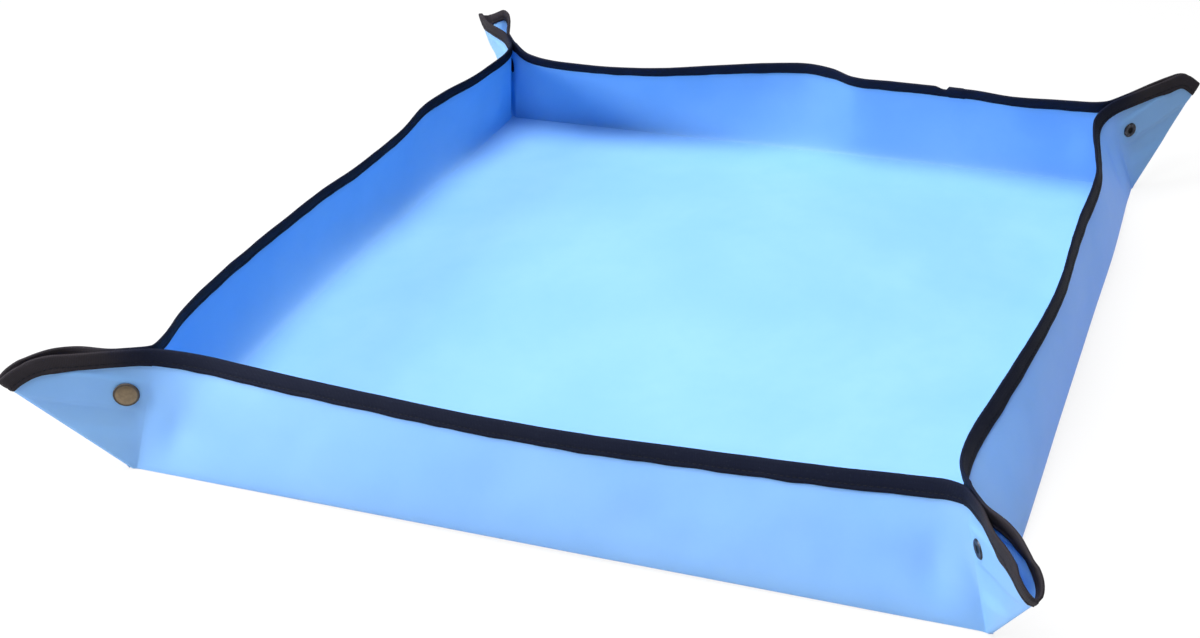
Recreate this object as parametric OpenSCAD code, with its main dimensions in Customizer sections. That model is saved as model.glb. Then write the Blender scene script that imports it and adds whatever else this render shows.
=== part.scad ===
// Folding potting tray. One square sheet of coated cloth has its corners cut off and its rim bound
// with tape. Four walls fold up from the base, and a snap fastener pinches each corner into an ear.
// The origin is at the middle of the underside, +Z is up, and the front wall is on the -Y side.

/* [Sheet] */
// Side of the square sheet when it lies flat
sheet_side = 680; // [500:10:1000]
// Height of cloth in each wall, from the base fold to the rim
wall_h = 78; // [55:1:110]
// How far each pinch draws the rim in from the corner of the base
pinch_inset = 19; // [8:1:30]
// Leg of the triangle that is cut off each corner of the sheet
corner_cut = 28; // [10:1:40]
// Thickness of the cloth
cloth_t = 0.5; // [0.3:0.1:1.0]
// Room between two panels along a fold
fold_gap = 0.3; // [0.1:0.1:0.6]

/* [Ears] */
// Space between the two layers of a snapped ear
ear_gap = 4; // [3:0.2:7]
// Lean of the front right ear out of the diagonal, towards the front wall
lean_front_right = 11; // [-15:1:15]
// Lean of the back right ear out of the diagonal, towards the right wall
lean_back_right = -3; // [-15:1:15]
// Lean of the back left ear out of the diagonal, towards the back wall
lean_back_left = 5; // [-15:1:15]
// Lean of the front left ear out of the diagonal, towards the left wall
lean_front_left = 13; // [-15:1:15]

/* [Binding] */
// Width of tape on each face of the cloth
binding_w = 10; // [6:0.5:16]
// Thickness of the tape on each face and over the edge
binding_t = 0.8; // [0.4:0.1:1.0]
// Room left in the tape each side of a pinch
binding_relief = 0.8; // [0.5:0.1:1.5]
// Distance from the tape's inner edge to the seam
seam_inset = 2; // [1:0.5:4]
// Width of the thread
thread_w = 0.6; // [0.3:0.1:1.0]
// How far the thread stands proud of the tape
thread_t = 0.3; // [0.1:0.1:0.4]

/* [Snaps] */
// Distance of a snap below the rim, measured down the pinch
snap_down = 30.28; // [26:0.01:40]
// Distance of a snap out from the pinch
snap_out = 9; // [9:0.5:14]
// Diameter of the cap
cap_d = 15; // [10:0.5:16]
// Height of the cap
cap_h = 2.4; // [1.6:0.1:4]
// Radius of the cap's rolled rim
cap_roll = 0.7; // [0.4:0.1:1]
// Diameter of the shank that fastens the cap
shank_d = 3.6; // [2.5:0.1:4.5]
// Diameter of the shank's riveted head
shank_head_d = 5; // [4.2:0.1:5.8]
// Thickness of each riveted end
rivet_t = 0.5; // [0.3:0.1:0.8]
// Diameter of the socket's foot
socket_d = 12.5; // [10:0.5:14]
// Wall of the socket's cup
socket_wall = 1.4; // [0.8:0.1:2]
// Thickness of the foot under the socket and the stud
foot_t = 0.8; // [0.5:0.1:1.2]
// Diameter of the stud's foot
stud_d = 12; // [10:0.5:14]
// Diameter of the nub that snaps into the socket
nub_d = 6; // [5:0.1:7]
// How far the nub stands out of its foot
nub_h = 1.6; // [0.8:0.1:1.8]
// Wall of the hollow nub
nub_wall = 0.4; // [0.3:0.1:0.6]
// Diameter of the eyelet's flange
eyelet_d = 11; // [8:0.5:13]
// Height of the eyelet's flange
eyelet_h = 0.9; // [0.5:0.1:1.5]
// How far the eyelet's tube is flared past its outside
flare_lip = 0.4; // [0.2:0.1:0.6]
// Wall of the eyelet's tube
tube_wall = 0.5; // [0.3:0.1:0.8]
// Room round each shank, tube and nub
snap_clear = 0.15; // [0.05:0.05:0.3]
// Room round the flared end, and between the closed socket and the stud's foot
seat_clear = 0.2; // [0.1:0.05:0.3]

/* [Hidden] */
$fn = 48;
SIDES = ["front", "right", "back", "left"];
CORNERS = ["front_right", "back_right", "back_left", "front_left"];
LEANS = [lean_front_right, lean_back_right, lean_back_left, lean_front_left];

CLOTH = "#8fc6f6";
CLOTH_EAR = "#7fb4ea";
TAPE = "#2c3040";
THREAD = "#1d2029";
BRASS = "#8a7452";
GUNMETAL = "#33373c";

base = sheet_side - 2 * wall_h;
// The walls lean in so that the rims of two walls meet above the base's diagonal.
wall_lean = asin(pinch_inset / wall_h);
pinch_len = norm([pinch_inset, wall_h]);
// Turn between a wall and an ear that lies in the diagonal
even_turn = acos(cos(wall_lean) / sqrt(2));
// The socket takes the nub, and the nub takes the flared end of the eyelet's tube
socket_h = ear_gap - foot_t - seat_clear;
socket_bore = nub_d + 2 * snap_clear;
flare_d = nub_d - 2 * (nub_wall + seat_clear);
tube_d = flare_d - 2 * flare_lip;
tube_bore = tube_d - 2 * tube_wall;
// Length of a cutter that passes right through what it cuts
cutter = 12;
diagonal_gap = fold_gap * sqrt(2) / 2;
// The seam's offset from the sheet's edge
seam = seam_inset - binding_w;

// Each wall i has an ear half at its two ends: e = 1 at the corner that comes next going round,
// and e = -1 at the corner before.
function corner_of(i, e) = e == 1 ? i : (i + 3) % 4;
function other_side(i, e) = SIDES[(i + e + 4) % 4];
function ear_name(i, e) = str(SIDES[i], "_ear_", other_side(i, e));
function turn(i, e) = even_turn + e * LEANS[corner_of(i, e)];
// Distance from the pinch back to the wall's crease, which leaves half of ear_gap inside the ear
function crease(i, e) = (ear_gap / 2 + cloth_t * (1 - cos(turn(i, e)))) / sin(turn(i, e));
// How far the turn about the crease carries the ear half outwards
function carry(i, e) = crease(i, e) * (1 - cos(turn(i, e))) + cloth_t * sin(turn(i, e));

// The flat pattern is drawn from a corner of the base: x along the base fold and out past the
// corner, y up the wall. A line beside the pinch lies off it by off, at the height y.
function pinch_x(off, y) = (off * pinch_len - pinch_inset * y) / wall_h;
// Points of the sheet's edge, moved out by o: where the rim meets the cut corner, and where the
// cut corner meets the diagonal
function cut_start(o) = [wall_h - corner_cut + o * (sqrt(2) - 1), wall_h + o];
function cut_end(o) = [wall_h - (corner_cut - o * sqrt(2) + diagonal_gap * 2) / 2,
                       wall_h - (corner_cut - o * sqrt(2) - diagonal_gap * 2) / 2];
// The edge from the crease to the diagonal, moved out by o and starting off the pinch by off
function ear_edge(off, o) = [[pinch_x(off, wall_h + o), wall_h + o], cut_start(o), cut_end(o)];
function back_to_front(v) = [for (k = [len(v) - 1:-1:0]) v[k]];
// The snap's centre in the flat pattern, set back by what the turn carries it out
function snap_at(i, e) =
    let (out = snap_out - carry(i, e), up = pinch_len - snap_down)
    [wall_h * out - pinch_inset * up, pinch_inset * out + wall_h * up] / pinch_len;

// Wall frame: the origin at the base corner, x along the fold, y up the wall, z out of the wall
module on_wall(i, e) {
    rotate([0, 0, 90 * i])
        translate([0, -base / 2, cloth_t])
            rotate([90 - wall_lean, 0, 0])
                mirror([e == 1 ? 0 : 1, 0, 0])
                    translate([base / 2, 0, 0])
                        children();
}

// Ear frame: the flat pattern turned about the crease on the outer face
module on_ear(i, e) {
    hinge = [-crease(i, e) * wall_h / pinch_len, -crease(i, e) * pinch_inset / pinch_len, cloth_t];
    on_wall(i, e)
        translate(hinge)
            rotate(a = -turn(i, e), v = [-pinch_inset, wall_h, 0])
                translate(-hinge)
                    children();
}

module at_snap(i, e) {
    on_ear(i, e)
        translate([snap_at(i, e)[0], snap_at(i, e)[1], 0])
            children();
}

// A slab of thickness t whose lowest face is at z
module slab(z, t) {
    translate([0, 0, z])
        linear_extrude(t)
            children();
}

// A band along the wall's rim, between the offsets lo and hi of its edge, in the frame of e = 1
module rim_band(i, lo, hi, relief) {
    near = -crease(i, 1) - relief;
    far = -crease(i, -1) - relief;
    polygon([[pinch_x(near, wall_h + lo), wall_h + lo],
             [pinch_x(near, wall_h + hi), wall_h + hi],
             [-base - pinch_x(far, wall_h + hi), wall_h + hi],
             [-base - pinch_x(far, wall_h + lo), wall_h + lo]]);
}

// A band along the ear's edge, between the offsets lo and hi
module ear_band(i, e, lo, hi, relief) {
    start = -crease(i, e) + relief;
    polygon(concat(ear_edge(start, hi), back_to_front(ear_edge(start, lo))));
}

module floor_panel() {
    color(CLOTH)
        translate([-base / 2, -base / 2, 0])
            cube([base, base, cloth_t]);
}

module wall(i) {
    color(CLOTH)
        on_wall(i, 1)
            slab(0, cloth_t)
                rim_band(i, fold_gap - wall_h, 0, fold_gap / 2);
}

module ear(i, e) {
    start = -crease(i, e) + fold_gap / 2;
    color(CLOTH_EAR)
        difference() {
            on_ear(i, e)
                slab(0, cloth_t)
                    polygon(concat(ear_edge(start, 0),
                        [[fold_gap - 2 * diagonal_gap, fold_gap],
                         [pinch_x(start, fold_gap), fold_gap]]));
            at_snap(i, e)
                cylinder(d = (e == 1 ? tube_d : shank_d) + 2 * snap_clear, h = cutter, center = true);
        }
}

module wall_binding(i) {
    color(TAPE)
        on_wall(i, 1)
            difference() {
                slab(-binding_t, cloth_t + 2 * binding_t)
                    rim_band(i, -binding_w, binding_t, binding_relief);
                slab(0, cloth_t)
                    rim_band(i, -2 * binding_w, 0, 0);
            }
}

module ear_binding(i, e) {
    color(TAPE)
        on_ear(i, e)
            difference() {
                slab(-binding_t, cloth_t + 2 * binding_t)
                    ear_band(i, e, -binding_w, binding_t, binding_relief);
                slab(0, cloth_t)
                    polygon([[-wall_h, 0], [-wall_h, wall_h], cut_start(0),
                             [2 * wall_h - corner_cut, 0]]);
            }
}

// One line of thread on each face of the tape
module seam_lines() {
    slab(cloth_t + binding_t, thread_t)
        children();
    slab(-binding_t - thread_t, thread_t)
        children();
}

module wall_stitching(i) {
    color(THREAD)
        on_wall(i, 1)
            seam_lines()
                rim_band(i, seam - thread_w / 2, seam + thread_w / 2, 2 * binding_relief);
}

module ear_stitching(i, e) {
    color(THREAD)
        on_ear(i, e)
            seam_lines()
                ear_band(i, e, seam - thread_w / 2, seam + thread_w / 2, 2 * binding_relief);
}

// A domed cap with a rolled rim, and the shank that is riveted inside the socket
module snap_cap(c) {
    dome_r = cap_d / 2 - cap_roll;
    rise = cap_h - cap_roll;
    sphere_r = (dome_r * dome_r + rise * rise) / (2 * rise);
    color(BRASS)
        at_snap((c + 1) % 4, -1) {
            translate([0, 0, cloth_t]) {
                rotate_extrude()
                    translate([dome_r, cap_roll])
                        circle(r = cap_roll);
                intersection() {
                    cylinder(r = dome_r, h = cap_h);
                    translate([0, 0, cap_h - sphere_r])
                        sphere(r = sphere_r);
                }
            }
            translate([0, 0, -foot_t - rivet_t]) {
                cylinder(d = shank_d, h = foot_t + rivet_t + cloth_t + cap_h / 2);
                cylinder(d = shank_head_d, h = rivet_t);
            }
        }
}

// A foot with a cup that the nub snaps into
module snap_socket(c) {
    color(GUNMETAL)
        at_snap((c + 1) % 4, -1)
            translate([0, 0, -socket_h])
                difference() {
                    union() {
                        cylinder(d = socket_bore + 2 * socket_wall, h = socket_h);
                        translate([0, 0, socket_h - foot_t])
                            cylinder(d = socket_d, h = foot_t);
                    }
                    translate([0, 0, -foot_t])
                        cylinder(d = socket_bore, h = socket_h);
                    cylinder(d = shank_d + 2 * snap_clear, h = cutter);
                }
}

// A foot with a hollow nub
module snap_stud(c) {
    color(GUNMETAL)
        at_snap(c, 1)
            translate([0, 0, -foot_t - nub_h])
                difference() {
                    union() {
                        cylinder(d = nub_d, h = foot_t + nub_h);
                        translate([0, 0, nub_h])
                            cylinder(d = stud_d, h = foot_t);
                    }
                    translate([0, 0, -foot_t])
                        cylinder(d = nub_d - 2 * nub_wall, h = foot_t + nub_h);
                    cylinder(d = tube_d + 2 * snap_clear, h = cutter);
                }
}

// A rounded ring on the outer face, with a tube that is flared inside the stud
module snap_eyelet(c) {
    ring_r = (eyelet_d - tube_bore) / 4;
    color(GUNMETAL)
        at_snap(c, 1)
            difference() {
                union() {
                    translate([0, 0, cloth_t])
                        intersection() {
                            rotate_extrude()
                                translate([tube_bore / 2 + ring_r, 0])
                                    scale([1, eyelet_h / ring_r])
                                        circle(r = ring_r);
                            cylinder(d = eyelet_d, h = eyelet_h);
                        }
                    translate([0, 0, -foot_t - rivet_t]) {
                        cylinder(d = tube_d, h = foot_t + rivet_t + cloth_t + eyelet_h / 2);
                        cylinder(d = flare_d, h = rivet_t);
                    }
                }
                cylinder(d = tube_bore, h = cutter, center = true);
            }
}

floor_panel();
for (i = [0:3]) {
    wall(i);
    wall_binding(i);
    wall_stitching(i);
    for (e = [1, -1]) {
        ear(i, e);
        ear_binding(i, e);
        ear_stitching(i, e);
    }
    snap_cap(i);
    snap_socket(i);
    snap_stud(i);
    snap_eyelet(i);
}
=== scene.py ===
"""A folding potting tray: one square sheet of blue coated cloth, bound with dark tape, whose four
corners are pinched into ears by snap fasteners.

Every cloth, tape and thread piece is drawn on the flat sheet and carried to its place by wall_place
or ear_place. Each wall and each ear starts on its own fold, so that no gap opens when it turns."""

import functools
import math

import bmesh
import bpy
from mathutils import Matrix, Vector, noise


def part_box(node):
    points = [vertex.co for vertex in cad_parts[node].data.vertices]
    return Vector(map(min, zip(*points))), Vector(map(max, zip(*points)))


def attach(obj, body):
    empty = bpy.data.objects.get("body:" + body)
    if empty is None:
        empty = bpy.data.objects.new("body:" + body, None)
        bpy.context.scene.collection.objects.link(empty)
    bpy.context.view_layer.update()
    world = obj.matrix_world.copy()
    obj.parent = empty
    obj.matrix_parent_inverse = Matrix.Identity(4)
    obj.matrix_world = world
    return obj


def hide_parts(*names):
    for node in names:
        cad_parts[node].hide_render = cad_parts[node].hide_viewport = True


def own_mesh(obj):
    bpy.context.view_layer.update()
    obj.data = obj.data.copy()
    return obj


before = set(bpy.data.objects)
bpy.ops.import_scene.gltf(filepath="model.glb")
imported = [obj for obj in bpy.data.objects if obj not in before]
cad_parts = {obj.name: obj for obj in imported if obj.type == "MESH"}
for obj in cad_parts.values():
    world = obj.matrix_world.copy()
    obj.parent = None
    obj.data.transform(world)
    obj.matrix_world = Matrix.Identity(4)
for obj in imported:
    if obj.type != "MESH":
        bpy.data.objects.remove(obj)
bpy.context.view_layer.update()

MM = 0.001

# Sizes of the sheet, as on the flat pattern
WALL_H = 78 * MM
PINCH_INSET = 19 * MM
CORNER_CUT = 28 * MM
CLOTH_T = 0.5 * MM
EAR_GAP = 4 * MM
BASE = 2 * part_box("floor_panel")[1].x
# How far each ear leans out of the diagonal, in degrees, by corner
LEANS = (11, -3, 5, 13)
# The radius at each end of each cut corner, in mm, by corner
TIP_ROUNDS = (40, 21, 46, 46)

# Sizes of the binding and its seam
TAPE_W = 10 * MM
# Width of the tape's inner side, as a share of the outer side's
TAPE_INNER = 0.82
TAPE_T = 0.8 * MM
# Its rounded edge, and how uneven that edge and its faces are
TAPE_EDGE = 0.3 * MM
TAPE_WANDER = 0.5 * MM
TAPE_WAVE = 0.12 * MM
# Where the tape's two ends overlap, as shares of the back rim, the thickness of the lap, and how far
# the fold sinks beside it: its depth, its level length and the length over which it ends
TAPE_ENDS = (0.226, 0.252)
TAPE_LAP = 0.6 * MM
TAPE_NOTCH = (2.6 * MM, 0.005, 0.014)
# How far inside the tape's fold the cloth ends
TUCK = 2 * MM
# The seam: how far inside the tape's edge it runs, how deep it pulls the tape in, and its stitches
SEAM_INSET = 2.8 * MM
SEAM_DENT = 0.22 * MM
STITCH_PITCH = 3.4 * MM
STITCH_LONG = 2.5 * MM
THREAD_R = 0.28 * MM

# Where the snaps sit, down from the rim and out from the pinch
SNAP_DOWN = 30.28 * MM
SNAP_OUT = 9 * MM

SIDES = ("front", "right", "back", "left")
CORNERS = ("front_right", "back_right", "back_left", "front_left")

# How far the foot of each wall bulges out of its fold, as (place along the fold, bulge) in mm,
# both as seen from outside, left to right
FOOT = {
    "front": ((-259, 0), (-200, 2.5), (-80, 4.5), (40, 5.5), (160, 4), (225, 2.5), (259, 0)),
    "right": ((-259, 0), (-170, 3.5), (-67, 2.5), (70, 4), (144, 5.5), (201, 4), (259, 0)),
    "back": ((-259, 0), (-190, 2), (-80, 2.5), (60, 2.5), (190, 1.5), (259, 0)),
    "left": ((-259, 0), (-192, 4.5), (-131, 10), (2, 13), (100, 11), (190, 6), (259, 0)),
}
# How far out of the fold each rim stands, likewise; a rim is 19 mm inside it at both pinches
RIM = {
    "front": ((-240, -19), (-200, -24), (-120, -20), (-50, -15.5), (40, -16.5), (110, -20.5),
              (190, -24), (225, -22), (240, -19)),
    "right": ((-240, -19), (-222, -25), (-198, -28), (-175, -27.5), (-139, -22.5), (-94, -15.5),
              (-50, -11), (-15, -10), (60, -12.5), (133, -12), (166, -17), (200, -23), (222, -24),
              (240, -19)),
    "back": ((-240, -19), (-215, -17.5), (-172, -20), (-140, -16.5), (-78, -16), (-45, -15.5),
             (-25, -6.5), (-4, -2.5), (23, -6.5), (66, -17), (105, -26), (150, -31), (196, -30.5),
             (225, -26), (240, -19)),
    "left": ((-240, -19), (-215, -18), (-178, -12.5), (-151, -3), (-127, 1.5), (-88, -1.5),
             (-31, 1.5), (23, 5.5), (73, 5.5), (120, 3), (154, -0.5), (198, -6), (225, -13),
             (240, -19)),
}
# The soft dent in a wall beside each snap: its distance from the crease and its height, its half
# sizes, and its depth, in mm
DENT = (21, 33, 13, 19, 2.2)
# How much softer each foot bends than by its bulge alone
FOOT_SOFT = 3 * MM
# How far each wall bows outwards at half height, in mm
BOW = {"front": 1.5, "right": 2, "back": 2, "left": 2.5}

# Each ear half's bulge in mm between the snap and the tip, and at the tip, and the width over
# which the outer fold turns
BULGE = {
    "front_ear_right": (1.5, 3.2, 11),
    "right_ear_front": (2.2, 4.4, 11),
    "right_ear_back": (0.4, 0, 3),
    "back_ear_right": (0.8, 0.2, 3),
    "back_ear_left": (2.5, 10, 12),
    "left_ear_back": (3.5, 10, 12),
    "left_ear_front": (5.5, 4, 8),
    "front_ear_left": (0.4, 0, 3),
}

WALL_LEAN = math.asin(PINCH_INSET / WALL_H)
PINCH_LEN = math.hypot(PINCH_INSET, WALL_H)
EVEN_TURN = math.acos(math.cos(WALL_LEAN) / math.sqrt(2))
CUT_BEND = math.radians(45)

# Lengths over which a wall turns into the pinch, at its foot and its rim, and the same for an ear
WALL_ROUND = (0.8 * MM, 18 * MM)
EAR_ROUND = (0.8 * MM, 3.5 * MM)
# Heights at which each of these starts to grow, and over which it grows
WALL_ROUND_UP = (18 * MM, 60 * MM)
EAR_ROUND_UP = (0, 30 * MM)
# A wall's wrinkles, as (depth, size), and how far from its creases and its foot they start: nearest
# and over which length
WALL_WRINKLES = ((0.9 * MM, 60 * MM), (0.35 * MM, 22 * MM))
WRINKLES_IN = (0, 30 * MM)
WRINKLES_UP = (6 * MM, 25 * MM)

# How far each layer of an ear comes in beside the pinch
SHUT = 1.15 * MM
# The pocket at the pinch's foot: its height, and the height over which it closes
POCKET = (18 * MM, 10 * MM)
# The room at a snap: its half height, and the height over which it closes
SNAP_ROOM = (8 * MM, 4 * MM)
# Where an ear's bulge starts, out from the crease and up from the foot, and over which length
BULGE_OUT = (18 * MM, 50 * MM)
BULGE_UP = (10 * MM, 68 * MM)
# An ear's wrinkles as (depth, size), where they start out from the crease, and over which length
EAR_WRINKLES = (0.5 * MM, 25 * MM)
EAR_WRINKLES_OUT = (20 * MM, 15 * MM)
# How far an ear's foot reaches down past the floor at its outer fold
FOOT_DOWN = 0.5 * MM

# How high the floor lifts here and there, and how far in from its edges it does so fully
FLOOR_LIFT = 2.2 * MM
FLOOR_LEVEL = 60 * MM
# Each of the floor's corners: its size, how much it lifts, and how far it reaches under the ears
CORNER_SIZE = 5 * MM
CORNER_LIFT = 0.35 * MM
CORNER_REACH = 1.1 * MM

# A small step for slopes
STEP = 0.05 * MM


def smooth(t):
    """0 below 0, 1 above 1, and an even S between."""
    t = min(max(t, 0.0), 1.0)
    return t * t * (3 - 2 * t)


def grown(x, start, span):
    """0 up to start, 1 from start + span."""
    return smooth((x - start) / span)


def along(points, x):
    """A smooth curve through points (x, value), with level ends."""
    if x <= points[0][0]:
        return points[0][1]
    for k in range(len(points) - 1):
        (x0, a), (x1, b) = points[k], points[k + 1]
        if x <= x1:
            before = points[k - 1] if k else points[k]
            after = points[k + 2] if k + 2 < len(points) else points[k + 1]
            span = x1 - x0
            slope_a = (b - before[1]) / (x1 - before[0]) * span
            slope_b = (after[1] - a) / (after[0] - x0) * span
            t = (x - x0) / span
            return (
                a * (1 + 2 * t) * (1 - t) ** 2
                + slope_a * t * (1 - t) ** 2
                + b * t * t * (3 - 2 * t)
                + slope_b * t * t * (t - 1)
            )
    return points[-1][1]


def table(points):
    """The curve's values at every mm, to be looked up often."""
    low, high = points[0][0], points[-1][0]
    return low, [along(points, low + k) for k in range(high - low + 1)]


def look_up(made, x):
    low, values = made
    at = min(max(x - low, 0), len(values) - 1.001)
    k = int(at)
    return values[k] + (values[k + 1] - values[k]) * (at - k)


FOOT_AT = {side: table(points) for side, points in FOOT.items()}
RIM_AT = {side: table(points) for side, points in RIM.items()}


def corner_of(i, e):
    """Each wall i has an ear half at its two ends: e = 1 at the next corner, -1 at the one before."""
    return i if e == 1 else (i + 3) % 4


def ear_name(i, e):
    return f"{SIDES[i]}_ear_{SIDES[(i + e) % 4]}"


@functools.cache
def turn(i, e):
    return EVEN_TURN + e * math.radians(LEANS[corner_of(i, e)])


@functools.cache
def crease(i, e):
    """Distance from the pinch back to the wall's crease."""
    return (EAR_GAP / 2 + CLOTH_T * (1 - math.cos(turn(i, e)))) / math.sin(turn(i, e))


def carry(i, e):
    """How far the turn about the crease carries the ear half outwards."""
    return crease(i, e) * (1 - math.cos(turn(i, e))) + CLOTH_T * math.sin(turn(i, e))


def pinch_x(off, y):
    """Place beside the pinch, off from it, at the height y, in the flat pattern of a corner."""
    return (off * PINCH_LEN - PINCH_INSET * y) / WALL_H


def crease_x(i, e, y):
    """Half width of the wall at the height y."""
    return BASE / 2 + pinch_x(-crease(i, e), y)


def wall_frame(i):
    """x along the fold, y up the wall, z out of it, with the middle of the fold as the origin."""
    return (
        Matrix.Rotation(math.radians(90 * i), 4, "Z")
        @ Matrix.Translation((0, -BASE / 2, CLOTH_T))
        @ Matrix.Rotation(math.pi / 2 - WALL_LEAN, 4, "X")
    )


def ear_frame(i, e):
    """The flat pattern of a corner, turned about the crease: x on past the fold, y up."""
    hinge = Vector((-crease(i, e) * WALL_H / PINCH_LEN, -crease(i, e) * PINCH_INSET / PINCH_LEN, CLOTH_T))
    return (
        wall_frame(i)
        @ Matrix.Diagonal((e, 1, 1, 1))
        @ Matrix.Translation((BASE / 2, 0, 0))
        @ Matrix.Translation(hinge)
        @ Matrix.Rotation(-turn(i, e), 4, Vector((-PINCH_INSET, WALL_H, 0)))
        @ Matrix.Translation(-hinge)
    )


WALL_FRAMES = [wall_frame(i) for i in range(4)]
EAR_FRAMES = {(i, e): ear_frame(i, e) for i in range(4) for e in (1, -1)}


def ripple(x, y, seed, size):
    """Soft wrinkles, from -1 to 1."""
    return noise.noise(Vector((x / size, y / size, seed)))


def wall_profile(side, across, y):
    """How far out of the fold and how high the inner face stands, y up the cloth. across runs from
    -1 to 1 between the wall's two creases."""
    foot = look_up(FOOT_AT[side], across * 259) * MM
    rim = look_up(RIM_AT[side], across * 240) * MM
    # The foot leaves level, bends up and rises in a line to the rim
    rise = WALL_H - foot
    lean = (rim - foot) / rise
    steep = math.sqrt(1 - lean * lean)
    t = y - foot * (1 - math.exp(-y / (foot + FOOT_SOFT)))
    bow = BOW[side] * MM * math.sin(math.pi * min(max(t / rise, 0), 1)) * (1 - across**4)
    return y - t + lean * t + bow * steep, steep * t - bow * lean


def wall_place(i, x, y):
    """Where a point of wall i, on its outer face, stands at rest."""
    side = SIDES[i]
    e = 1 if x > 0 else -1
    half = crease_x(i, e, y)
    across = x / half
    out, up = wall_profile(side, across, y)
    next_out, next_up = wall_profile(side, across, y + STEP)
    slope = math.hypot(next_out - out, next_up - up)
    out, up = out + CLOTH_T * (next_up - up) / slope, up - CLOTH_T * (next_out - out) / slope
    s = up * math.cos(WALL_LEAN) - out * math.sin(WALL_LEAN)
    n = out * math.cos(WALL_LEAN) + up * math.sin(WALL_LEAN)
    # It turns softly into the pinch
    u = (half - abs(x)) * WALL_H / PINCH_LEN
    soft = math.tan(turn(i, e) / 2)
    reach = WALL_ROUND[0] + (WALL_ROUND[1] - WALL_ROUND[0]) * grown(y, *WALL_ROUND_UP)
    n -= soft * u * math.exp(-max(u, 0) / reach)
    du, dy, wide, high, deep = (size * MM for size in DENT)
    n -= deep * smooth(u / du) * math.exp(-(((u - du) / wide) ** 2) - ((y - dy) / high) ** 2)
    # Small wrinkles, which fade at its folds
    fade = grown(u, *WRINKLES_IN) * grown(y, *WRINKLES_UP)
    for k, (depth, size) in enumerate(WALL_WRINKLES):
        n += fade * depth * ripple(x, y, i + 9 * k, size)
    return WALL_FRAMES[i] @ Vector((x, s, n))


def ear_place(i, e, x, y):
    """Where a point of an ear half, on its outer face, stands at rest."""
    up = (y * WALL_H - x * PINCH_INSET) / PINCH_LEN
    off = (x * WALL_H + y * PINCH_INSET) / PINCH_LEN + crease(i, e)
    edge = max((y - x) / math.sqrt(2), 0)
    middle, tip, fold_w = BULGE[ear_name(i, e)]
    # The fold's width, less where the crease is near
    fold_w = min(fold_w * MM, edge + off * PINCH_LEN / WALL_H / math.sqrt(2))
    closing = min(edge / max(fold_w, STEP), 1)
    round_fold = math.sqrt(1 - (1 - closing) ** 2)
    # Out of the pinch, where the two layers close on each other but for the pocket at the foot and
    # the room that the snap takes
    soft = math.tan(turn(i, e) / 2)
    reach = EAR_ROUND[0] + (EAR_ROUND[1] - EAR_ROUND[0]) * grown(up, *EAR_ROUND_UP)
    shut = grown(up, *POCKET) * grown(abs(up - PINCH_LEN + SNAP_DOWN), *SNAP_ROOM)
    inward = SHUT * (1 - math.exp(-soft * off / SHUT))
    n = -inward * (shut + (1 - shut) * math.exp(-max(off, 0) / reach)) * round_fold
    # Between the snap and the tip
    far = (off - BULGE_OUT[0]) / BULGE_OUT[1]
    lens = math.sin(math.pi * min(max(far, 0), 1)) ** 2
    n += (middle * lens + tip * smooth(far)) * MM * grown(up, *BULGE_UP) * round_fold
    # Both layers meet at the outer fold
    n -= (EAR_GAP / 2 + CLOTH_T) * (1 - round_fold)
    depth, size = EAR_WRINKLES
    n += grown(off, *EAR_WRINKLES_OUT) * round_fold * depth * ripple(x, y, 20 + 2 * i + e, size)
    return EAR_FRAMES[i, e] @ Vector((x, y, CLOTH_T + n))


def surface(place, x, y, hand=1):
    """A point of the cloth's outer face and the way out of it. hand is -1 where the pattern is
    mirrored."""
    p = place(x, y)
    return p, (p - place(x - STEP, y)).cross(place(x, y + STEP) - p).normalized() * hand


def lifted(place, x, y, lift, hand=1):
    """A point lift out of the cloth's inner face."""
    p, out = surface(place, x, y, hand)
    return p + out * (lift - CLOTH_T)


@functools.cache
def edge_lengths(i, e):
    """Where an ear's bound edge starts, the length of its straight start, and its whole length."""
    radius = TIP_ROUNDS[corner_of(i, e)] * MM
    tangent = radius * math.tan(CUT_BEND / 2)
    start = pinch_x(-crease(i, e), WALL_H)
    first = WALL_H - CORNER_CUT - tangent - start
    return start, first, first + radius * CUT_BEND + CORNER_CUT / math.sqrt(2) - tangent


def ear_edge(i, e, p, o):
    """The point at p of the way along an ear's bound edge, from the crease to the outer fold, and
    o out from it. The cut corner is rounded."""
    radius = TIP_ROUNDS[corner_of(i, e)] * MM
    start, first, length = edge_lengths(i, e)
    s = p * length
    a = min(max((s - first) / radius, 0), CUT_BEND)
    point = Vector((start + first, WALL_H - radius))
    point += Vector((math.sin(a), math.cos(a))) * (radius + o)
    if s < first:
        point.x += s - first - PINCH_INSET / WALL_H * o * (1 - s / first)
    past = s - first - radius * CUT_BEND
    if past > 0:
        point += Vector((math.cos(a), -math.sin(a))) * past
    return point


def sheet_point(i, x, y):
    """The same point on the whole flat sheet, for the weave."""
    return Matrix.Rotation(math.radians(90 * i), 2) @ Vector((x, -BASE / 2 - y))


def cut_end(o):
    """Where the cut corner, moved out by o, meets the diagonal."""
    half = WALL_H - (CORNER_CUT - o * math.sqrt(2)) / 2
    return Vector((half, half))


def new_piece(name, bm, finish):
    """A finished mesh as an object, with its place in its vertices."""
    mesh = bpy.data.meshes.new(name)
    for f in bm.faces:
        f.smooth = True
    bm.to_mesh(mesh)
    bm.free()
    piece = bpy.data.objects.new(name, mesh)
    bpy.context.scene.collection.objects.link(piece)
    mesh.materials.append(finish)
    return piece


def mark_sharp(bm, angle):
    for edge in bm.edges:
        if len(edge.link_faces) == 2 and edge.calc_face_angle(0) > angle:
            edge.smooth = False


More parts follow.
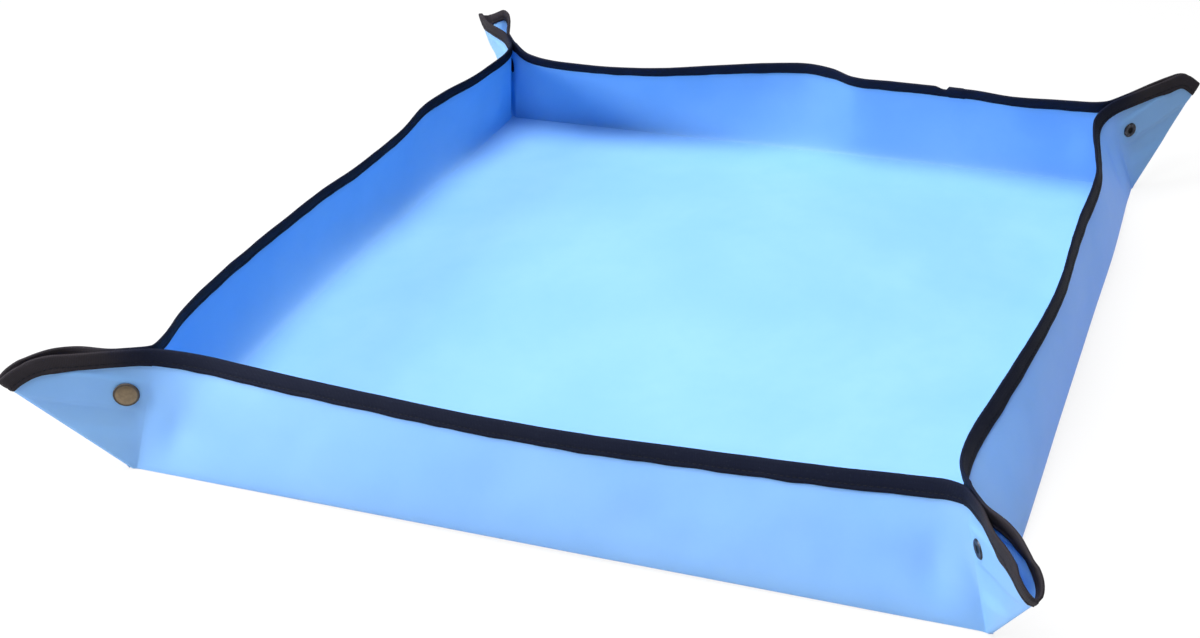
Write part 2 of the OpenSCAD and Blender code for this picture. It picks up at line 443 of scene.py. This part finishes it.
def cloth_piece(name, columns, rows, pattern, place, weave, hand=1):
    """A panel of cloth: a grid on the flat pattern, carried to its place and given its thickness."""
    bm = bmesh.new()
    bmesh.ops.create_grid(bm, x_segments=columns, y_segments=rows, size=0.5)
    bmesh.ops.solidify(bm, geom=bm.faces[:], thickness=1)
    top = max(v.co.z for v in bm.verts)
    uv = bm.loops.layers.uv.new("sheet")
    flat = {v: pattern(v.co.x + 0.5, v.co.y + 0.5) for v in bm.verts}
    for face in bm.faces:
        for loop in face.loops:
            loop[uv].uv = weave(*flat[loop.vert])
    for v, (x, y) in flat.items():
        v.co = lifted(place, x, y, CLOTH_T if v.co.z > top - 0.5 else 0, hand)
    bmesh.ops.recalc_face_normals(bm, faces=bm.faces)
    mark_sharp(bm, math.radians(50))
    return new_piece(name, bm, CLOTH)


def spread(t, ends):
    """t from 0 to 1, drawn towards its ends (from 0, even, to 1)."""
    return t * (1 - ends) + ends * (1 - math.cos(math.pi * t)) / 2


def floor_place(x, y):
    """The floor lies on the ground and lifts a little here and there."""
    inside = grown(BASE / 2 - max(abs(x), abs(y)), 0, FLOOR_LEVEL)
    lift = max(ripple(x, y, seed=31, size=170 * MM) + 0.25, 0) * FLOOR_LIFT * inside
    lift += CORNER_LIFT * grown(min(abs(x), abs(y)), BASE / 2 - CORNER_SIZE, CORNER_SIZE * 0.6)
    return Vector((x, y, CLOTH_T + lift))


def make_floor():
    def pattern(u, v):
        x, y = (spread(u, 0.8) - 0.5) * BASE, (spread(v, 0.8) - 0.5) * BASE
        # It reaches under the ears a little at each corner
        left = BASE / 2 - min(abs(x), abs(y))
        reach = CORNER_REACH * smooth((CORNER_SIZE - left) / (2 * MM))
        reach *= 0.4 + 0.6 * smooth(left / (1.5 * MM))
        return x * (1 + 2 * reach / BASE), y * (1 + 2 * reach / BASE)

    piece = cloth_piece("cloth_floor", 96, 96, pattern, floor_place, lambda x, y: (x, y))
    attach(piece, "base")
    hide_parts("floor_panel")


def flatten(piece, to_row):
    """Gives the piece its own copy of its mesh."""
    out = to_row.to_3x3() @ Vector((0, 0, 1))
    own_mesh(piece)


def make_wall(i):
    side = SIDES[i]

    def pattern(u, v):
        y = v**1.15 * (WALL_H - TUCK)
        left, right = -crease_x(i, -1, y), crease_x(i, 1, y)
        return left + (right - left) * spread(u, 0.35), y

    piece = cloth_piece(f"cloth_{side}_wall", 230, 34, pattern,
                        lambda x, y: wall_place(i, x, y), lambda x, y: sheet_point(i, x, y))
    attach(piece, side)
    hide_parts(f"{side}_wall")
    flatten(piece, WALL_FRAMES[i])
    width = crease_x(i, 1, 0) + crease_x(i, -1, 0)
    top = crease_x(i, 1, WALL_H) + crease_x(i, -1, WALL_H)
    return piece, (width, WALL_H), (width + top) / 2 * WALL_H


def make_ear(i, e):
    name = ear_name(i, e)
    cut_share = 0.72
    start, first, length = edge_lengths(i, e)
    # The cloth's corner is in the middle of the round
    corner = (first + TIP_ROUNDS[corner_of(i, e)] * MM * CUT_BEND / 2) / length
    top = ear_edge(i, e, 0, -TUCK), ear_edge(i, e, corner, -TUCK)

    def pattern(u, v):
        y = -CLOTH_T / 2 + v * (WALL_H - TUCK + CLOTH_T / 2)
        inner = Vector((pinch_x(-crease(i, e), y), y))
        u = 1 - (1 - u) ** 1.6
        if v == 0:
            # The foot reaches down to the ground
            outer = Vector((0, -FOOT_DOWN))
        elif v <= cut_share:
            outer = cut_end(-TUCK) * (v / cut_share)
        else:
            outer = ear_edge(i, e, 1 - (1 - corner) * (v - cut_share) / (1 - cut_share), -TUCK)
        bulge = ear_edge(i, e, corner * u, -TUCK) - top[0].lerp(top[1], u)
        return tuple(inner.lerp(outer, u) + bulge * v**6)

    piece = cloth_piece(f"cloth_{name}", 44, 50, pattern, lambda x, y: ear_place(i, e, x, y),
                        lambda x, y: sheet_point(i, e * (BASE / 2 + x), y), e)
    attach(piece, name)
    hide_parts(name)
    flatten(piece, EAR_FRAMES[i, e])
    outline = [Vector((pinch_x(-crease(i, e), 0), 0)), Vector((0, 0))]
    outline += [ear_edge(i, e, 1 - k / 20, 0) for k in range(21)]
    area = sum(a.x * b.y - b.x * a.y for a, b in zip(outline, outline[1:] + outline[:1])) / 2
    return piece, (cut_end(0).x - start, WALL_H), area


# The tape's section: (distance out from the sheet's edge, distance out of the cloth's inner face)
def tape_section():
    outer = [
        (-TAPE_W, CLOTH_T * 0.8),
        (-TAPE_W, CLOTH_T + TAPE_T * 0.55),
        (-TAPE_W + TAPE_EDGE, CLOTH_T + TAPE_T),
        (-TAPE_W + SEAM_INSET - 2 * TAPE_EDGE, CLOTH_T + TAPE_T),
        (-TAPE_W + SEAM_INSET, CLOTH_T + TAPE_T - SEAM_DENT),
        (-TAPE_W + SEAM_INSET + 2 * TAPE_EDGE, CLOTH_T + TAPE_T),
        (-TAPE_W / 2, CLOTH_T + TAPE_T + TAPE_EDGE / 2),
        (-TAPE_T, CLOTH_T + TAPE_T),
        (TAPE_T * 0.3, CLOTH_T + TAPE_T * 0.75),
        (TAPE_T * 0.85, CLOTH_T + TAPE_T * 0.25),
    ]
    inner = [(o * (TAPE_INNER if o < 0 else 1), CLOTH_T - n) for o, n in reversed(outer)]
    return outer + inner


def tape_piece(name, columns, path, place, hand=1, lap=None):
    """A length of tape folded over the edge. path(p, o) is the pattern point at p of the way along,
    o out from the edge. lap is the stretch of p where the tape's other end lies on top."""
    section = tape_section()
    count = len(section)
    length = (path(1, 0) - path(0, 0)).length
    bm = bmesh.new()
    bmesh.ops.create_grid(bm, x_segments=columns, y_segments=count, size=0.5)
    uv = bm.loops.layers.uv.new("tape")
    at = {v: (v.co.x + 0.5, round((v.co.y + 0.5) * count)) for v in bm.verts}
    for face in bm.faces:
        for loop in face.loops:
            p, k = at[loop.vert]
            loop[uv].uv = (p * length, k * TAPE_W / (count // 2 - 1))
    for v, (p, k) in at.items():
        o, n = section[k % count]
        x, y = path(p, o)
        if o < -TAPE_W / 2:
            x, y = path(p, o + TAPE_WANDER * ripple(x, y, seed=40, size=13 * MM))
        if lap and lap[0] < p < lap[1]:
            n += math.copysign(TAPE_LAP, n - CLOTH_T / 2)
        # Beside the lap's end the fold sinks
        if lap and o > -TAPE_W / 2 and p > lap[1]:
            depth, level, end = TAPE_NOTCH
            y -= depth * (1 - smooth((p - lap[1] - level) / end))
        wave = TAPE_WAVE * ripple(x + y, o, seed=50, size=9 * MM)
        v.co = lifted(place, x, y, n + (wave if n > CLOTH_T / 2 else -wave), hand)
    bmesh.ops.remove_doubles(bm, verts=bm.verts, dist=1e-6)
    bmesh.ops.holes_fill(bm, edges=[edge for edge in bm.edges if edge.is_boundary])
    if hand > 0:
        bmesh.ops.reverse_faces(bm, faces=bm.faces)
    mark_sharp(bm, math.radians(60))
    return new_piece(name, bm, TAPE)


def bead():
    """The points and faces of a coarse ball, long in x from -1 to 1."""
    bm = bmesh.new()
    bmesh.ops.create_uvsphere(bm, u_segments=6, v_segments=5, radius=1,
                              matrix=Matrix.Rotation(math.pi / 2, 4, "Y"))
    ball = [v.co.copy() for v in bm.verts], [[v.index for v in f.verts] for f in bm.faces]
    bm.free()
    return ball


def seam_piece(name, path, place, hand=1):
    """The stitches along a length of tape, on both faces."""
    o = SEAM_INSET - TAPE_W
    parts = 40
    length = sum((path((k + 1) / parts, o) - path(k / parts, o)).length for k in range(parts))
    count = int(length / STITCH_PITCH)
    reach = 0.5 * STITCH_LONG / STITCH_PITCH
    points, faces = bead()
    spots, rings = [], []
    for k in range(count):
        p, out = surface(place, *path((k + 0.5) / count, o), hand)
        run = (place(*path((k + 0.5 + reach) / count, o)) - place(*path((k + 0.5 - reach) / count, o))) / 2
        side = run.cross(out).normalized()
        for n in (TAPE_T - SEAM_DENT * 0.4, SEAM_DENT * 0.4 - CLOTH_T - TAPE_T):
            middle = p + out * n
            rings += [[i + len(spots) for i in f] for f in faces]
            spots += [middle + run * q.x + side * THREAD_R * q.y + out * THREAD_R * 0.8 * q.z for q in points]
    bm = bmesh.new()
    verts = [bm.verts.new(p) for p in spots]
    for ring in rings:
        bm.faces.new([verts[i] for i in ring])
    bmesh.ops.recalc_face_normals(bm, faces=bm.faces)
    return new_piece(name, bm, THREAD)


def bind_wall(i):
    side = SIDES[i]

    def path(p, o):
        y = WALL_H + o
        left, right = -crease_x(i, -1, y), crease_x(i, 1, y)
        return Vector((left + (right - left) * p, y))

    def place(x, y):
        return wall_place(i, x, y)

    tape = tape_piece(f"tape_{side}", 230, path, place, lap=TAPE_ENDS if side == "back" else None)
    seam = seam_piece(f"stitches_{side}", path, place)
    for piece, node in ((tape, "binding"), (seam, "stitching")):
        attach(piece, side)
        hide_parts(f"{side}_{node}")
        flatten(piece, WALL_FRAMES[i])
    return [tape, seam]


def bind_ear(i, e):
    name = ear_name(i, e)

    def path(p, o):
        return ear_edge(i, e, p, o)

    def place(x, y):
        return ear_place(i, e, x, y)

    tape = tape_piece(f"tape_{name}", 60, path, place, e)
    seam = seam_piece(f"stitches_{name}", path, place, e)
    for piece, node in ((tape, "binding"), (seam, "stitching")):
        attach(piece, name)
        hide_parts(f"{name}_{node}")
        flatten(piece, EAR_FRAMES[i, e])
    return [tape, seam]


def snap_frame(i, e):
    """The middle of a snap on the cloth's inner face, z out of the ear."""
    out, up = SNAP_OUT - carry(i, e), PINCH_LEN - SNAP_DOWN
    at = Vector((WALL_H * out - PINCH_INSET * up, PINCH_INSET * out + WALL_H * up, 0)) / PINCH_LEN
    return EAR_FRAMES[i, e] @ Matrix.Translation(at)


def turned_piece(name, profile, to_row, finish):
    """A profile of (radius, height) points spun into a round piece."""
    bm = bmesh.new()
    verts = [bm.verts.new((r, 0, z)) for r, z in profile]
    edges = [bm.edges.new(pair) for pair in zip(verts, verts[1:])]
    steps = 56
    bmesh.ops.spin(bm, geom=verts + edges, cent=(0, 0, 0), axis=(0, 0, 1), dvec=(0, 0, 0),
                   angle=math.tau, steps=steps, use_merge=True)
    bmesh.ops.remove_doubles(bm, verts=bm.verts, dist=1e-6)
    bmesh.ops.recalc_face_normals(bm, faces=bm.faces)
    uv = bm.loops.layers.uv.new("round")
    for face in bm.faces:
        for loop in face.loops:
            x, y, _ = loop.vert.co
            loop[uv].uv = (x, y)
    mark_sharp(bm, math.radians(40))
    bmesh.ops.transform(bm, matrix=to_row, verts=bm.verts)
    if to_row.determinant() < 0:
        bmesh.ops.reverse_faces(bm, faces=bm.faces)
    return new_piece(name, bm, finish)


def make_cap(c):
    i, e = (c + 1) % 4, -1
    profile = [(0, 2.4), (1.5, 2.37), (3, 2.27), (4.4, 2.08), (5.4, 1.82), (6.1, 1.56), (6.4, 1.42),
               (6.6, 1.36), (6.8, 1.4), (7.1, 1.36), (7.35, 1.12), (7.5, 0.75), (7.42, 0.3),
               (7.1, 0.03), (6.6, 0), (0, 0)]
    to_row = snap_frame(i, e) @ Matrix.Translation((0, 0, CLOTH_T))
    piece = turned_piece(f"snap_cap_{CORNERS[c]}", [(r * MM, z * MM) for r, z in profile], to_row,
                         BRASS)
    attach(piece, ear_name(i, e))
    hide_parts(f"{CORNERS[c]}_cap")


def make_eyelet(c):
    i, e = c, 1
    profile = [(0, 0.14), (1.3, 0.14), (1.7, 0.2), (2.1, 0.36), (2.6, 0.56),
               (3.3, 0.72), (4.2, 0.82), (4.8, 0.78), (5.2, 0.6), (5.45, 0.35), (5.5, 0.1),
               (5.4, 0), (2.2, 0), (2.1, -1.0), (2.4, -1.25), (0, -1.25)]
    to_row = snap_frame(i, e) @ Matrix.Translation((0, 0, CLOTH_T))
    piece = turned_piece(f"snap_eyelet_{CORNERS[c]}", [(r * MM, z * MM) for r, z in profile], to_row,
                         DARK_METAL)
    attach(piece, ear_name(i, e))
    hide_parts(f"{CORNERS[c]}_eyelet")


class Shade:
    """A socket in a material's nodes. Sums and products of these add Math nodes."""

    def __init__(self, tree, socket):
        self.tree = tree
        self.socket = socket

    def math(self, operation, *values):
        return add_node(self.tree, "ShaderNodeMath", {"operation": operation},
                        dict(enumerate((self, *values))))

    def __add__(self, other):
        return self.math("ADD", other)

    __radd__ = __add__

    def __mul__(self, other):
        return self.math("MULTIPLY", other)

    __rmul__ = __mul__

    def __sub__(self, other):
        return self.math("SUBTRACT", other)

    def __rsub__(self, other):
        return (self * -1).math("ADD", other)


def add_node(tree, kind, settings=None, inputs=None, output=0):
    """Adds a node, with its settings first and then the values or links of its sockets."""
    node = tree.nodes.new(kind)
    for name, value in (settings or {}).items():
        if name == "stops":
            ramp = node.color_ramp
            while len(ramp.elements) < len(value):
                ramp.elements.new(1)
            for element, (at, colour) in zip(ramp.elements, value):
                element.position = at
                element.color = (*colour, 1)
        else:
            setattr(node, name, value)
    for name, value in (inputs or {}).items():
        if isinstance(value, Shade):
            tree.links.new(value.socket, node.inputs[name])
        else:
            node.inputs[name].default_value = value
    return Shade(tree, node.outputs[output]) if node.outputs else None


def new_finish(name):
    """An empty material and its nodes."""
    finish = bpy.data.materials.new(name)
    finish.use_nodes = True
    finish.node_tree.nodes.clear()
    return finish, finish.node_tree


def show(tree, shader):
    add_node(tree, "ShaderNodeOutputMaterial", inputs={"Surface": shader})


def srgb(*levels):
    """A colour from its 0 to 255 levels, as the shaders take it."""
    return tuple((v / 255 / 12.92) if v <= 10 else ((v / 255 + 0.055) / 1.055) ** 2.4 for v in levels)


def mixed(tree, factor, a, b):
    """Colour a where factor is 0 and b where it is 1."""
    colours = [c if isinstance(c, Shade) else (*c, 1) for c in (a, b)]
    return add_node(tree, "ShaderNodeMix", {"data_type": "RGBA"},
                    {0: factor, 6: colours[0], 7: colours[1]}, 2)


def ramp(tree, factor, low, high):
    """0 where factor is at or under low, 1 at or over high."""
    return add_node(tree, "ShaderNodeMapRange", {"interpolation_type": "SMOOTHSTEP"},
                    {"Value": factor, "From Min": low, "From Max": high})


def waves(x, pitch):
    """A sine of x, from -1 to 1, that repeats at each pitch."""
    return (x * (math.tau / pitch)).math("SINE")


def grain(tree, place, scale, detail=2.0, rough=0.5):
    return add_node(tree, "ShaderNodeTexNoise", None,
                    {"Vector": place, "Scale": scale, "Detail": detail, "Roughness": rough})


def object_place(tree):
    """Place in the object's own frame, in metres."""
    return add_node(tree, "ShaderNodeTexCoord", output=3)


def bumped(tree, strength, distance, height):
    """A normal that follows a height."""
    return add_node(tree, "ShaderNodeBump", None,
                    {"Strength": strength, "Distance": distance, "Height": height})


def pattern_uv(tree, name):
    """The piece's own pattern coordinates, in metres, as a vector and its two parts."""
    uv = add_node(tree, "ShaderNodeUVMap", {"uv_map": name})
    parts = add_node(tree, "ShaderNodeSeparateXYZ", None, {0: uv})
    return uv, parts, Shade(tree, parts.socket.node.outputs[1])


def cloth_finish():
    """Pale blue coated polyester: a fine plain weave under a thin smooth film."""
    finish, tree = new_finish("coated_cloth")
    uv, x, y = pattern_uv(tree, "sheet")
    place = object_place(tree)
    weave = waves(x, 0.7 * MM) * waves(y, 0.7 * MM)
    threads = grain(tree, uv, 1400, 1)
    clouds = grain(tree, place, 9, 3)
    patches = grain(tree, place, 34, 4, 0.6)
    colour = mixed(tree, ramp(tree, clouds, 0.3, 0.7), srgb(139, 193, 243), srgb(149, 201, 246))
    colour = mixed(tree, ramp(tree, patches, 0.35, 0.75) * 0.3, colour, srgb(133, 188, 240))
    colour = mixed(tree, (weave * 0.5 + 0.5) * 0.16, colour, srgb(117, 176, 233))
    rough = 0.47 + patches * 0.12 + threads * 0.05
    height = weave * 0.35 + threads * 0.5 + patches * 3
    bump = bumped(tree, 0.35, 0.12 * MM, height)
    body = add_node(tree, "ShaderNodeBsdfPrincipled", None,
                    {"Base Color": colour, "Roughness": rough, "Normal": bump,
                     "Coat Weight": 0.2, "Coat Roughness": 0.35})
    through = add_node(tree, "ShaderNodeBsdfTranslucent", None,
                       {"Color": (*srgb(30, 192, 255), 1), "Normal": bump})
    show(tree, add_node(tree, "ShaderNodeMixShader", None, {0: 0.3, 1: body, 2: through}))
    return finish


def tape_finish():
    """Dark ribbed binding tape with a little lint on it."""
    finish, tree = new_finish("binding_tape")
    _, x, y = pattern_uv(tree, "tape")
    place = object_place(tree)
    ribs, cross = waves(x, 0.9 * MM), waves(y, 0.6 * MM)
    lint = grain(tree, place, 900, 2)
    wear = grain(tree, place, 70, 4, 0.6)
    across = add_node(tree, "ShaderNodeVectorMath", {"operation": "MULTIPLY"},
                      {0: place, 1: (1, 1, 0)})
    away = add_node(tree, "ShaderNodeVectorMath", {"operation": "LENGTH"}, {0: across}, 1)
    # Past this distance from the tray's middle, on the ears, the tape is browner
    far = ramp(tree, wear * 0.02 + away, 0.352, 0.392)
    colour = mixed(tree, far, srgb(10, 17, 38), srgb(44, 40, 44))
    colour = mixed(tree, ramp(tree, lint, 0.6, 0.8) * 0.25, colour, srgb(60, 66, 82))
    colour = mixed(tree, (ribs * 0.5 + 0.5) * 0.3, colour, srgb(8, 13, 28))
    height = ribs * 0.6 + cross * 0.25 + lint * 0.6
    bump = bumped(tree, 0.6, 0.15 * MM, height)
    show(tree, add_node(tree, "ShaderNodeBsdfPrincipled", None,
                        {"Base Color": colour, "Roughness": 0.62 + wear * 0.2, "Normal": bump,
                         "Specular IOR Level": 0.12}))
    return finish


def thread_finish():
    """Black sewing thread with a slight twist."""
    finish, tree = new_finish("sewing_thread")
    place = object_place(tree)
    twist = grain(tree, place, 3500, 2)
    colour = mixed(tree, twist, srgb(8, 10, 18), srgb(26, 29, 42))
    bump = bumped(tree, 0.5, 0.1 * MM, twist)
    show(tree, add_node(tree, "ShaderNodeBsdfPrincipled", None,
                        {"Base Color": colour, "Roughness": 0.6, "Normal": bump,
                         "Specular IOR Level": 0.12}))
    return finish


def brass_finish():
    """Aged brass, darker and less metallic in the groove, with fine scratches."""
    finish, tree = new_finish("aged_brass")
    _, x, y = pattern_uv(tree, "round")
    place = object_place(tree)
    radius = (x * x + y * y).math("SQRT")
    spots = grain(tree, place, 420, 4, 0.6)
    fine = grain(tree, place, 2600, 2)
    groove = ramp(tree, radius, 0.0058, 0.0066)
    colour = mixed(tree, spots, srgb(154, 136, 110), srgb(112, 100, 86))
    colour = mixed(tree, groove * 0.8, colour, srgb(54, 54, 58))
    height = fine * 0.4 + spots * 0.6
    bump = bumped(tree, 0.3, 0.1 * MM, height)
    show(tree, add_node(tree, "ShaderNodeBsdfPrincipled", None,
                        {"Base Color": colour, "Metallic": 0.95 - groove * 0.3,
                         "Roughness": 0.4 + spots * 0.2 + groove * 0.1, "Normal": bump}))
    return finish


def dark_metal_finish():
    """Blackened steel, worn a little brighter where it is rubbed, with painted shade for its hole."""
    finish, tree = new_finish("blackened_steel")
    _, x, y = pattern_uv(tree, "round")
    radius = (x * x + y * y).math("SQRT")
    place = object_place(tree)
    spots = grain(tree, place, 500, 4, 0.6)
    fine = grain(tree, place, 2400, 2)
    colour = mixed(tree, ramp(tree, spots, 0.45, 0.75), srgb(52, 54, 62), srgb(96, 98, 106))
    # Painted shade: near black within about 2 mm of the middle, as the shade down the closed hole
    colour = mixed(tree, ramp(tree, radius, 0.0018, 0.0030), srgb(12, 12, 16), colour)
    bump = bumped(tree, 0.3, 0.1 * MM, fine)
    show(tree, add_node(tree, "ShaderNodeBsdfPrincipled", None,
                        {"Base Color": colour, "Metallic": 0.9, "Roughness": 0.34 + spots * 0.2,
                         "Normal": bump}))
    return finish


def white_to_camera(tree, shader, share):
    """shader, drawn towards plain white where the camera, a reflection or clear glass sees it."""
    path = add_node(tree, "ShaderNodeLightPath")
    seen = path
    for name in ("Is Glossy Ray", "Is Transmission Ray"):
        seen = seen.math("MAXIMUM", Shade(tree, path.socket.node.outputs[name]))
    white = add_node(tree, "ShaderNodeEmission", None, {"Color": (1, 1, 1, 1), "Strength": 1.0})
    return add_node(tree, "ShaderNodeMixShader", None, {0: seen * share, 1: shader, 2: white})


def make_stage():
    """A pale floor that fades to white, soft light from above and from the left, and a white world."""
    finish, tree = new_finish("stage_floor")
    pale = add_node(tree, "ShaderNodeBsdfDiffuse", None, {"Color": (0.68, 0.68, 0.68, 1)})
    show(tree, white_to_camera(tree, pale, 0.85))
    bm = bmesh.new()
    bmesh.ops.create_grid(bm, x_segments=1, y_segments=1, size=6)
    mesh = bpy.data.meshes.new("stage_floor")
    bm.to_mesh(mesh)
    bm.free()
    mesh.materials.append(finish)
    floor = bpy.data.objects.new("stage_floor", mesh)
    floor.location.z = -0.3 * MM
    bpy.context.scene.collection.objects.link(floor)

    world = bpy.data.worlds.new("studio")
    bpy.context.scene.world = world
    world.use_nodes = True
    tree = world.node_tree
    tree.nodes.clear()
    path = add_node(tree, "ShaderNodeLightPath")
    # It is white to the camera and gives a tenth of that as light
    sky = add_node(tree, "ShaderNodeBackground", None,
                   {"Color": (1, 1, 1, 1), "Strength": 0.1 + path * 0.9})
    add_node(tree, "ShaderNodeOutputWorld", inputs={"Surface": sky})

    for name, at, size, watts in (
        ("overhead", (-0.15, -0.13, 1.6), 1.2, 52),
        ("left", (-1.7, -1.0, 0.8), 0.8, 42),
    ):
        lamp = bpy.data.lights.new(name, "AREA")
        lamp.size = size
        lamp.energy = watts
        holder = bpy.data.objects.new(name, lamp)
        holder.location = at
        holder.rotation_euler = (-Vector(at)).to_track_quat("-Z", "Y").to_euler()
        bpy.context.scene.collection.objects.link(holder)


def make_camera():
    """The photograph's view. Its frame is 1200 by 638 pixels."""
    frame_w, frame_h = 1200, 638
    focal_px = 1652.8
    middle_px = (766, 337)
    camera = bpy.data.cameras.new("camera")
    camera.sensor_width = 36
    camera.lens = focal_px / frame_w * camera.sensor_width
    camera.shift_x = -(middle_px[0] - frame_w / 2) / frame_w
    camera.shift_y = (middle_px[1] - frame_h / 2) / frame_w
    holder = bpy.data.objects.new("camera", camera)
    bpy.context.scene.collection.objects.link(holder)
    yaw, pitch, roll = (math.radians(a) for a in (-19.48, 31.78, -2.18))
    holder.matrix_world = (
        Matrix.Translation((0.3715, -0.9002, 0.5790))
        @ Matrix.Rotation(-yaw, 4, "Z")
        @ Matrix.Rotation(math.pi / 2 - pitch, 4, "X")
        @ Matrix.Rotation(roll, 4, "Z")
    )
    bpy.context.scene.camera = holder


make_camera()
make_stage()
CLOTH = cloth_finish()
TAPE = tape_finish()
THREAD = thread_finish()
BRASS = brass_finish()
DARK_METAL = dark_metal_finish()

make_floor()
for i in range(4):
    wall, flat, area = make_wall(i)
    bind_wall(i)
    for e in (1, -1):
        ear, flat, area = make_ear(i, e)
        bind_ear(i, e)
for c in range(4):
    make_cap(c)
    make_eyelet(c)
    for part in ("socket", "stud"):
        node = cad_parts[f"{CORNERS[c]}_{part}"]
        node.data.materials.clear()
        node.data.materials.append(DARK_METAL)

bpy.context.scene.view_settings.view_transform = "Standard"
